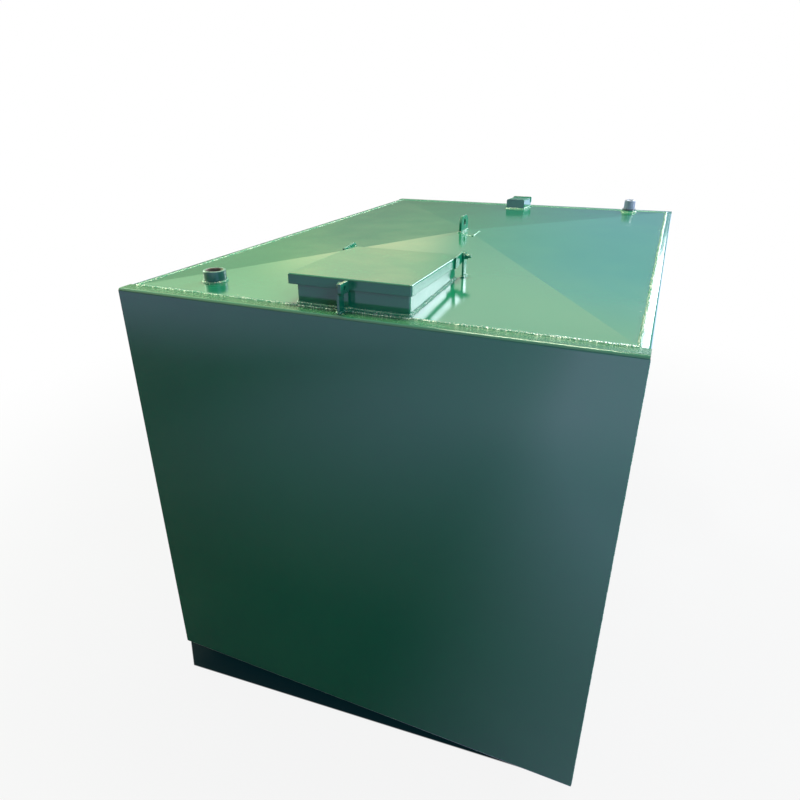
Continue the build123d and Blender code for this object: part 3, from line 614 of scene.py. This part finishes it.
def ball(middle, radius, squash):
    """A spatter drop: a low ball of a few faces, flattened on the plate."""
    points = [(middle[0], middle[1], middle[2] + radius * squash)]
    for level, (share, lift) in enumerate(((0.72, 0.70), (1.0, 0.0))):
        for step in range(6):
            angle = math.tau * (step + level / 2) / 6
            points.append(
                (
                    middle[0] + radius * share * math.cos(angle),
                    middle[1] + radius * share * math.sin(angle),
                    middle[2] + radius * squash * lift,
                )
            )
    faces = [(0, 1 + step, 1 + (step + 1) % 6) for step in range(6)]
    for step in range(6):
        after = (step + 1) % 6
        faces.append((1 + step, 7 + step, 1 + after))
        faces.append((7 + step, 7 + after, 1 + after))
    return points, faces


def weld_piece(name, node, beads, spatter=(), finish=foot_weld_paint):
    """One piece out of some beads and the spatter beside them, in the node's place."""
    points = []
    faces = []
    for bead_points, (rows, columns, closed) in beads:
        faces += grid_faces(rows, columns, len(points), closed_rows=closed)
        points += bead_points.tolist()
    for middle in spatter:
        radius = random.uniform(*DROP_RADIUS)
        drop, drop_faces = ball(middle, radius, random.uniform(*DROP_SQUASH))
        faces += [tuple(index + len(points) for index in face) for face in drop_faces]
        points += drop
    new_piece(name, points, faces, finish, node)


def spatter_beside(places, outward, count, nearest, farthest):
    """Places of spatter drops on the roof, scattered on both sides of a bead."""
    drops = []
    for _ in range(count):
        pick = random.randrange(len(places))
        reach = random.uniform(nearest, farthest)
        x = places[pick][0] + outward[pick][0] * reach
        y = places[pick][1] + outward[pick][1] * reach
        drops.append((x, y, roof_z(x, y) - DROP_SINK))
    return drops


def make_seam_weld():
    """The long rough bead between the roof and the flanges, with its spatter."""
    seam_x = roof_high.x + SEAM_GAP
    seam_y = roof_high.y + SEAM_GAP
    places, outward = rectangle_run(-seam_x, seam_x, -seam_y, seam_y, SEAM_CORNER)
    level = [(x, y, PLATE_TOP) for x, y in places]
    upward = [(0, 0, 1)] * len(level)
    seam = bead(
        level, outward, upward, SEAM_HALF_WIDTH, SEAM_HEIGHT, False, 11, wander=SEAM_WANDER
    )
    drops = spatter_beside(places, outward, SEAM_DROPS, *SEAM_DROP_REACH)
    weld_piece("roof_seam_bead", "roof_seam_weld", [seam], drops, weld_paint)


def make_corner_welds():
    """The welds up the four corners of the outer tank."""
    low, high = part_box("corner_seam_welds")
    rows = math.ceil((high.z - low.z) / CORNER_SAMPLE)
    heights = [low.z + (high.z - low.z) * row / (rows - 1) for row in range(rows)]
    beads = []
    for side in (-1, 1):
        for end in (-1, 1):
            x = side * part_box("right_panel")[1].x
            y = end * (high.y - CORNER_HALF_WIDTH)
            line = [(x, y, height) for height in heights]
            across = [(0, 1, 0)] * rows
            upward = [(side, 0, 0)] * rows
            shape = (CORNER_HALF_WIDTH, CORNER_HEIGHT, False)
            seed = 20 + side + 2 * end
            beads.append(bead(line, across, upward, *shape, seed, closed=False))
    weld_piece("corner_seam_beads", "corner_seam_welds", beads)


def foot_weld(places, outward, seed):
    """A fillet bead round the foot of a fitting on the roof, and the spatter beside it."""
    foot = [(x, y, roof_z(x, y)) for x, y in places]
    upward = [(0, 0, 1)] * len(foot)
    drops = spatter_beside(places, outward, FOOT_DROPS, *FOOT_DROP_REACH)
    return bead(foot, outward, upward, LEG, 0.0, True, seed), drops


def box_run(node, corner):
    """Points and outward directions round a node's box."""
    low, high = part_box(node)
    return rectangle_run(low.x, high.x, low.y, high.y, corner)


def make_eye_runs():
    """Two short weld runs on the roof beside the lifting eye."""
    for seed, start, end, half_width, finish in (
        (41, (0.000, -0.062), (0.044, -0.095), 0.0018, weld_paint),
        (42, (0.046, -0.092), (0.040, 0.008), 0.0033, foot_weld_paint),
    ):
        rows = math.ceil(math.dist(start, end) / SAMPLE)
        line = []
        for row in range(rows):
            share = row / (rows - 1)
            x, y = (a + share * (b - a) for a, b in zip(start, end))
            line.append((x, y, roof_z(x, y)))
        along = Vector((end[0] - start[0], end[1] - start[1], 0)).normalized()
        across = [(along.y, -along.x, 0)] * rows
        upward = [(0, 0, 1)] * rows
        run = bead(line, across, upward, half_width, 0.6 * half_width, False, seed, closed=False)
        weld_piece(f"eye_weld_run_{seed}", None, [run], finish=finish)


def make_welds():
    """All welds. Their order is fixed, because they share one run of random draws."""
    make_seam_weld()
    make_corner_welds()
    for fitting, corner, seed, finish in (
        ("hatch_neck", 0.004, 31, foot_weld_paint),
        ("ear_post", 0.0015, 32, foot_weld_paint),
        ("lifting_eye", 0.002, 33, foot_weld_paint),
        ("vent_box", 0.004, 34, weld_paint),
    ):
        made, drops = foot_weld(*box_run(fitting, corner), seed)
        weld_piece(f"{fitting}_bead", f"{fitting}_weld", [made], drops, finish)
    make_eye_runs()
    post_beads = []
    post_drops = []
    for fitting, seed in (("hinge_post_left", 35), ("hinge_post_right", 36)):
        made, drops = foot_weld(*box_run(fitting, 0.0015), seed)
        post_beads.append(made)
        post_drops += drops
    weld_piece("hinge_post_beads", "hinge_post_welds", post_beads, post_drops)
    for fitting, middle, radius, seed, finish in (
        ("suction_socket", socket_middle, SOCKET_RADIUS, 37, foot_weld_paint),
        ("gauge_standpipe", gauge_middle, GAUGE_PIPE_RADIUS, 38, weld_paint),
    ):
        made, drops = foot_weld(*circle_run(middle, radius), seed)
        weld_piece(f"{fitting}_bead", f"{fitting}_weld", [made], drops, finish)


def turned_points(rows, matrix):
    """Points of rows of radii: each row is a list of (radius, height), one for each step."""
    points = []
    for row in rows:
        for step, (radius, height) in enumerate(row):
            angle = math.tau * step / len(row)
            points.append(
                matrix @ Vector((radius * math.cos(angle), radius * math.sin(angle), height))
            )
    return points


def turned_piece(node, rows, matrix, material, closed=False):
    """A turned piece in a node's place, wound so that the volume inside it is positive."""
    points = turned_points(rows, matrix)
    faces = grid_faces(len(rows), len(rows[0]), closed_rows=closed, closed_columns=True)
    middle = sum(points, Vector()) / len(points)
    volume = 0.0
    for first, second, third, fourth in faces:
        corner = points[first] - middle
        volume += corner.dot((points[second] - middle).cross(points[third] - middle))
        volume += corner.dot((points[third] - middle).cross(points[fourth] - middle))
    if volume < 0:
        faces = [face[::-1] for face in faces]
    return new_piece(f"{node}_turned", points, faces, material, node)


def level_row(radius, height):
    """A round row of a turned piece."""
    return [(radius, height)] * TURN_STEPS


def hexagon_rows(across, low, high):
    """The side of a hexagon bar whose corners are turned off at both faces."""
    face = across / 2 * HEXAGON_FACE
    rows = [level_row(face, low)]
    for share in (0.35, 0.7, 1.0, -1.0, -0.7, -0.35):
        height = (low if share > 0 else high) + share * HEXAGON_CHAMFER
        reach = face + abs(share) * HEXAGON_CHAMFER * CHAMFER_SLOPE
        row = []
        for step in range(TURN_STEPS):
            angle = math.tau * step / TURN_STEPS % (math.pi / 3) - math.pi / 6
            row.append((min(across / 2 / math.cos(angle), reach), height))
        rows.append(row)
    rows.append(level_row(face, high))
    return rows


def thread_rows(radius, depth, pitch, low, high, inside=False):
    """A screw thread between two heights: a ridge that climbs one pitch a turn."""
    rows = []
    count = math.ceil((high - low) / (pitch / THREAD_ROWS))
    for place in range(count + 1):
        height = low + (high - low) * place / count
        row = []
        for step in range(TURN_STEPS):
            turns = height / pitch - step / TURN_STEPS
            ridge = 1 - abs(2 * (turns % 1) - 1)
            change = depth * ridge if inside else -depth * ridge
            row.append((radius + change, height))
        rows.append(row)
    return rows


def make_bolts():
    """The hinge bolts, with hexagon heads and threads, and their nuts."""
    pin = Vector(joints["hatch_lid_hinge"]["pos_m"])
    for side, direction in (("left", -1), ("right", 1)):
        low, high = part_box(f"hinge_bolt_{side}")
        nut_low, nut_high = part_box(f"hinge_nut_{side}")
        head_face = low.x if direction > 0 else high.x
        turn = Matrix(((0, 0, direction), (0, direction, 0), (-1, 0, 0)))
        place = Matrix.Translation((head_face, pin.y, pin.z)) @ turn.to_4x4()
        length = high.x - low.x
        nut_begin = abs((nut_low.x if direction > 0 else nut_high.x) - head_face)
        nut_end = nut_begin + (nut_high.x - nut_low.x)
        rows = [level_row(CLOSING_RADIUS, 0.0), *hexagon_rows(M8_ACROSS, 0.0, M8_HEAD)]
        rows += [level_row(M8_RADIUS, M8_HEAD), level_row(M8_RADIUS, nut_begin)]
        rows += thread_rows(M8_RADIUS, M8_DEPTH, M8_PITCH, nut_begin, length - M8_TIP)
        rows += [level_row(M8_RADIUS - M8_DEPTH, length), level_row(CLOSING_RADIUS, length)]
        turned_piece(f"hinge_bolt_{side}", rows, place, paint)
        rows = [level_row(M8_RADIUS, nut_begin), *hexagon_rows(M8_ACROSS, nut_begin, nut_end)]
        rows += [level_row(M8_RADIUS, nut_end)]
        turned_piece(f"hinge_nut_{side}", rows, place, paint, closed=True)


def make_socket():
    """The pipe socket with its real inside thread."""
    low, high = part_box("suction_socket")
    pipe_low, pipe_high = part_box("suction_pipe")
    pipe_radius = (pipe_high.x - pipe_low.x) / 2 + SOCKET_PIPE_PLAY
    roof_level = roof_z(socket_middle.x, socket_middle.y)
    edge_level = high.z - SOCKET_EDGE
    rows = [
        level_row(pipe_radius, low.z),
        level_row(SOCKET_RADIUS, low.z),
        level_row(SOCKET_RADIUS, edge_level),
        level_row(SOCKET_RADIUS - SOCKET_EDGE, high.z),
        level_row(SOCKET_BORE + SOCKET_EDGE, high.z),
    ]
    size = (SOCKET_BORE, PIPE_THREAD_DEPTH, PIPE_THREAD_PITCH)
    rows += thread_rows(*size, roof_level, edge_level, inside=True)[::-1]
    rows += [level_row(pipe_radius, roof_level)]
    place = Matrix.Translation((socket_middle.x, socket_middle.y, 0))
    piece = turned_piece("suction_socket", rows, place, socket_finish, closed=True)
    edges = piece.modifiers.new("edges", "EDGE_SPLIT")
    edges.split_angle = math.radians(35)


def flat_figure(figure):
    """The mesh of a figure that lies flat, with its middle at the origin."""
    words = bpy.data.curves.new("figure", "FONT")
    words.body = figure
    words.size = FIGURE_SIZE
    words.align_x = "CENTER"
    words.align_y = "CENTER"
    holder = bpy.data.objects.new("figure", words)
    bpy.context.scene.collection.objects.link(holder)
    bpy.context.view_layer.update()
    drawn = holder.evaluated_get(bpy.context.evaluated_depsgraph_get())
    flat = bpy.data.meshes.new_from_object(drawn)
    bpy.data.objects.remove(holder)
    return flat


def dial_angle(mark):
    """The angle of one of the dial's marks, which run clockwise from the left."""
    return math.radians(180 - DIAL_SWEEP * mark / DIAL_STEPS)


def make_dial_marks():
    """Scale marks and figures on the dial, from empty to full."""
    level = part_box("gauge_dial")[1].z + DIAL_LIFT
    middle = Vector((gauge_middle.x, gauge_middle.y, level))
    points = []
    faces = []
    for mark in range(DIAL_STEPS + 1):
        angle = dial_angle(mark)
        along = Vector((math.cos(angle), math.sin(angle), 0))
        beside = Vector((-along.y, along.x, 0))
        length, half_width = SHORT_MARK if mark % 2 else LONG_MARK
        outer = middle + along * (DIAL_RADIUS - DIAL_EDGE)
        inner = outer - along * length
        start = len(points)
        points += [inner - beside * half_width, outer - beside * half_width]
        points += [outer + beside * half_width, inner + beside * half_width]
        faces.append((start, start + 1, start + 2, start + 3))
    for mark, figure in FIGURES:
        angle = dial_angle(mark)
        reach = DIAL_RADIUS - FIGURE_INSET
        x = gauge_middle.x + reach * math.cos(angle)
        y = gauge_middle.y + reach * math.sin(angle)
        flat = flat_figure(figure)
        start = len(points)
        points += [(x + vertex.co.x, y + vertex.co.y, level) for vertex in flat.vertices]
        faces += [tuple(start + index for index in side.vertices) for side in flat.polygons]
        bpy.data.meshes.remove(flat)
    new_piece("gauge_dial_marks", points, faces, dial_ink)


# The floor, in metres, with the share of plain white that the camera sees near and far
FLOOR_SIZE = 30.0
FLOOR_SEEN = (1.2, 3.6, 0.90, 1.0)
FLOOR_GLOW = (1.25, 1.42, 2.15)
WINDOW_GLOW = (1.95, 2.05, 3.10)

# Where the floor glows in mirrors: each fades in between two places, from one share to another
FRONT_BY_Y = (-1.3, -3.4)
FRONT_BY_X = (-2.4, -0.4, 0.10, 0.70)
FAR_FRONT_BY_Y = (-2.7, -4.6, 0.0, 0.72)
RIGHT_BY_X = (-0.1, 0.8, 0.0, 0.9)
RIGHT_BY_Y = (-1.0, -2.6, 0.45, 1.0)
REAR_BY_Y = (0.9, 2.4)
WINDOW_BY_X = (-0.5, 0.3)
WINDOW_BY_Y = (-2.4, -3.6)

# The dark field under the tank: its edges, and how far the two askew ones slope
SHADE_COLOUR = (0.0005, 0.0090, 0.0115)
SHADE_FRONT_SLOPE = -0.0716
SHADE_FRONT = (-0.9743, -0.9703)
SHADE_END_SLOPE = 0.991
SHADE_END = (-1.607, -1.603)
SHADE_LEFT = (-0.662, -0.656)
SHADE_CORNER = (-0.920, -0.930)
SHADE_RIGHT = (0.652, 0.640)
SHADE_REAR = (0.975, 0.955)


def floor_in_mirrors(g, x, y):
    """How strongly the floor glows in mirrors at a place, and in what colour."""
    front = g.times(g.between(y, *FRONT_BY_Y), g.between(x, *FRONT_BY_X))
    front = g.highest(front, g.between(y, *FAR_FRONT_BY_Y))
    right = g.times(g.between(x, *RIGHT_BY_X), g.between(y, *RIGHT_BY_Y))
    share = g.highest(g.plus(front, right), g.between(y, *REAR_BY_Y))
    window = g.times(g.between(x, *WINDOW_BY_X), g.between(y, *WINDOW_BY_Y))
    return share, g.mix(window, FLOOR_GLOW, WINDOW_GLOW)


def floor_under_tank(g, x, y):
    """1 in the dark field under the tank, 0 outside it."""
    front = g.between(g.plus(y, g.times(x, SHADE_FRONT_SLOPE)), *SHADE_FRONT)
    end = g.between(g.plus(x, g.times(y, SHADE_END_SLOPE)), *SHADE_END)
    shade = g.times(g.times(front, end), g.between(y, *SHADE_REAR))
    shade = g.times(shade, g.highest(g.between(x, *SHADE_LEFT), g.between(y, *SHADE_CORNER)))
    return g.times(shade, g.between(x, *SHADE_RIGHT))


def make_floor():
    """A plain pale floor, which the camera sees fade to white away from the tank.

    Under the tank it is nearly black, with an edge that runs askew to the front panel.
    """
    mesh = bpy.data.meshes.new("floor")
    corners = [
        (x * FLOOR_SIZE, y * FLOOR_SIZE, 0) for x, y in ((-1, -1), (1, -1), (1, 1), (-1, 1))
    ]
    mesh.from_pydata(corners, [], [(0, 1, 2, 3)])
    floor = bpy.data.objects.new("floor", mesh)
    bpy.context.scene.collection.objects.link(floor)
    g = Surface("pale_floor")
    tone = g.between(g.noise(1.2, 4.0), 0.3, 0.7)
    g.finish(
        Base_Color=g.mix(tone, (0.150, 0.150, 0.146), (0.130, 0.130, 0.130)),
        Roughness=g.between(tone, 0.0, 1.0, 0.55, 0.65),
        Normal=g.bump(g.noise(60.0, 4.0), 0.0004),
    )
    place = g.parts(g.place)
    camera, mirror = g.rays()
    share, glow = floor_in_mirrors(g, place["X"], place["Y"])
    seen_colour = g.mix(floor_under_tank(g, place["X"], place["Y"]), WHITE, SHADE_COLOUR)
    colour = g.mix(mirror, seen_colour, glow)
    lit = g.add("ShaderNodeEmission", {"Color": colour, "Strength": 1.0})
    distance = g.add("ShaderNodeVectorMath", {0: g.place}, operation="LENGTH").outputs["Value"]
    seen = g.times(g.between(distance, *FLOOR_SEEN), camera)
    blend = g.add("ShaderNodeMixShader", {"Fac": g.plus(seen, g.times(share, mirror))})
    g.set(blend.inputs[1], g.shader.outputs["BSDF"])
    g.set(blend.inputs[2], lit.outputs["Emission"])
    g.set(g.tree.nodes["Material Output"].inputs["Surface"], blend.outputs["Shader"])
    mesh.materials.append(g.material)


# What the gloss paint mirrors: brightness by the sine of the height above the horizon
SKY_STEPS = (
    (0.030, 0.20),
    (0.070, 0.28),
    (0.140, 0.38),
    (0.205, 0.42),
    (0.250, 0.60),
    (0.292, 0.92),
    (0.334, 1.22),
    (0.375, 1.52),
)
SKY_WARM = (1.00, 1.03, 0.90)
SKY_COOL = (0.95, 1.17, 1.85)
SKY_WARM_PATCH = (3.65, 2.85, 2.10)
SKY_LEFT_TINT = (0.90, 1.12, 0.80)
SKY_LIGHT = (0.030, 0.038, 0.055)

# The sky's zones fade in between two values of the direction's x, to the right, or z, upward
COOL_BY_X = (-0.36, -0.02)
COOL_BY_Z = (0.33, 0.22)
PATCH_FROM_BELOW = (0.15, 0.21)
PATCH_FROM_ABOVE = (0.31, 0.22)
PATCH_FROM_RIGHT = (-0.27, -0.37)
PATCH_FROM_LEFT = (-0.60, -0.48)
LEFT_TINT_BY_X = (-0.42, -0.58)
LEFT_GLOW_BY_X = (-0.40, -0.62, 1.0, 1.45)
LEFT_DOOR_BY_X = (-0.755, -0.80, 1.0, 4.0)


def make_world():
    """White to the camera; a hall with a bright roof in reflections; a weak even light."""
    world = bpy.data.worlds.new("studio")
    bpy.context.scene.world = world
    world.use_nodes = True
    g = Graph(world.node_tree)
    background = g.tree.nodes["Background"]
    direction = g.parts(g.add("ShaderNodeTexCoord").outputs["Generated"])
    x = direction["X"]
    z = direction["Z"]

    ramp = g.add("ShaderNodeValToRGB", {"Fac": z})
    steps = ramp.color_ramp.elements
    while len(steps) < len(SKY_STEPS):
        steps.new(0.5)
    for step, (place, value) in zip(steps, SKY_STEPS):
        step.position = place
        step.color = (value, value, value, 1.0)

    cool = g.times(g.between(x, *COOL_BY_X), g.between(z, *COOL_BY_Z))
    tint = g.mix(cool, SKY_WARM, SKY_COOL)
    patch = g.times(g.between(z, *PATCH_FROM_BELOW), g.between(z, *PATCH_FROM_ABOVE))
    patch = g.times(patch, g.between(x, *PATCH_FROM_RIGHT))
    patch = g.times(patch, g.between(x, *PATCH_FROM_LEFT))
    tint = g.vector("MULTIPLY", tint, g.mix(patch, WHITE, SKY_WARM_PATCH))
    left = g.between(x, *LEFT_TINT_BY_X)
    tint = g.vector("MULTIPLY", tint, g.mix(left, WHITE, SKY_LEFT_TINT))
    glow = g.times(g.between(x, *LEFT_GLOW_BY_X), g.between(x, *LEFT_DOOR_BY_X))
    hall = g.vector("SCALE", g.vector("MULTIPLY", ramp.outputs["Color"], tint), Scale=glow)

    camera, mirror = g.rays()
    lighting = g.mix(mirror, SKY_LIGHT, hall)
    seen = g.mix(camera, lighting, WHITE)
    g.set(background.inputs["Color"], seen)
    g.set(background.inputs["Strength"], 1.0)


def soft_light(name, place, target, width, height, power, colour):
    """A large rectangular lamp that faces a point."""
    lamp = bpy.data.lights.new(name, "AREA")
    lamp.shape = "RECTANGLE"
    lamp.size = width
    lamp.size_y = height
    lamp.energy = power
    lamp.color = colour
    holder = bpy.data.objects.new(name, lamp)
    bpy.context.scene.collection.objects.link(holder)
    holder.visible_camera = False
    holder.location = place
    away = Vector(place) - Vector(target)
    holder.rotation_euler = away.to_track_quat("Z", "Y").to_euler()


def make_lights():
    """A warm roof light, a door and a window behind on the right, and weak cool fills."""
    middle = (0.0, 0.0, 1.2)
    hatch = (0.16, -0.75, 1.33)
    flange = (0.64, -0.6, 1.3)
    soft_light("roof_light", (-0.1, 0.2, 4.2), middle, 1.3, 0.55, 100.0, (1.0, 0.98, 0.72))
    soft_light("door_light", (2.84, 6.28, 4.73), hatch, 2.9, 2.0, 430.0, (0.82, 0.89, 1.0))
    soft_light("window_light", (1.58, 7.2, 3.22), flange, 0.85, 1.4, 62.0, (0.86, 0.95, 1.0))
    soft_light("front_fill", (1.9, -2.2, 2.3), (0.3, -0.9, 1.2), 1.1, 1.1, 27.0, (0.38, 0.60, 1.0))
    soft_light("left_fill", (-3.8, 0.6, 2.6), middle, 1.8, 1.8, 26.0, (0.85, 0.95, 1.0))
    soft_light("right_fill", (4.2, 1.0, 1.8), middle, 1.4, 0.8, 165.0, (0.84, 0.92, 1.0))


def make_camera():
    """The camera of the photograph, from its fitted place, angles and lens."""
    yaw, pitch, roll = (math.radians(a) for a in (CAMERA_YAW, CAMERA_PITCH, CAMERA_ROLL))
    forward = Vector(
        (math.sin(yaw) * math.cos(pitch), math.cos(yaw) * math.cos(pitch), -math.sin(pitch))
    )
    level_right = Vector((math.cos(yaw), -math.sin(yaw), 0))
    level_down = forward.cross(level_right)
    right = math.cos(roll) * level_right + math.sin(roll) * level_down
    down = math.cos(roll) * level_down - math.sin(roll) * level_right
    lens = bpy.data.cameras.new("camera")
    lens.sensor_width = SENSOR_WIDTH
    lens.lens = SENSOR_WIDTH * FOCAL_PIXELS / PICTURE_SIZE
    lens.shift_x = (PICTURE_SIZE / 2 - CENTRE_PIXEL[0]) / PICTURE_SIZE
    lens.shift_y = (CENTRE_PIXEL[1] - PICTURE_SIZE / 2) / PICTURE_SIZE
    lens.clip_start = 0.05
    lens.clip_end = 100.0
    camera = bpy.data.objects.new("camera", lens)
    bpy.context.scene.collection.objects.link(camera)
    axes = Matrix((right, -down, -forward)).transposed()
    camera.matrix_world = Matrix.Translation(CAMERA_PLACE) @ axes.to_4x4()
    bpy.context.scene.camera = camera


make_welds()
make_bolts()
make_socket()
make_dial_marks()
make_floor()
make_world()
make_lights()
make_camera()
bpy.context.scene.view_settings.view_transform = "Standard"
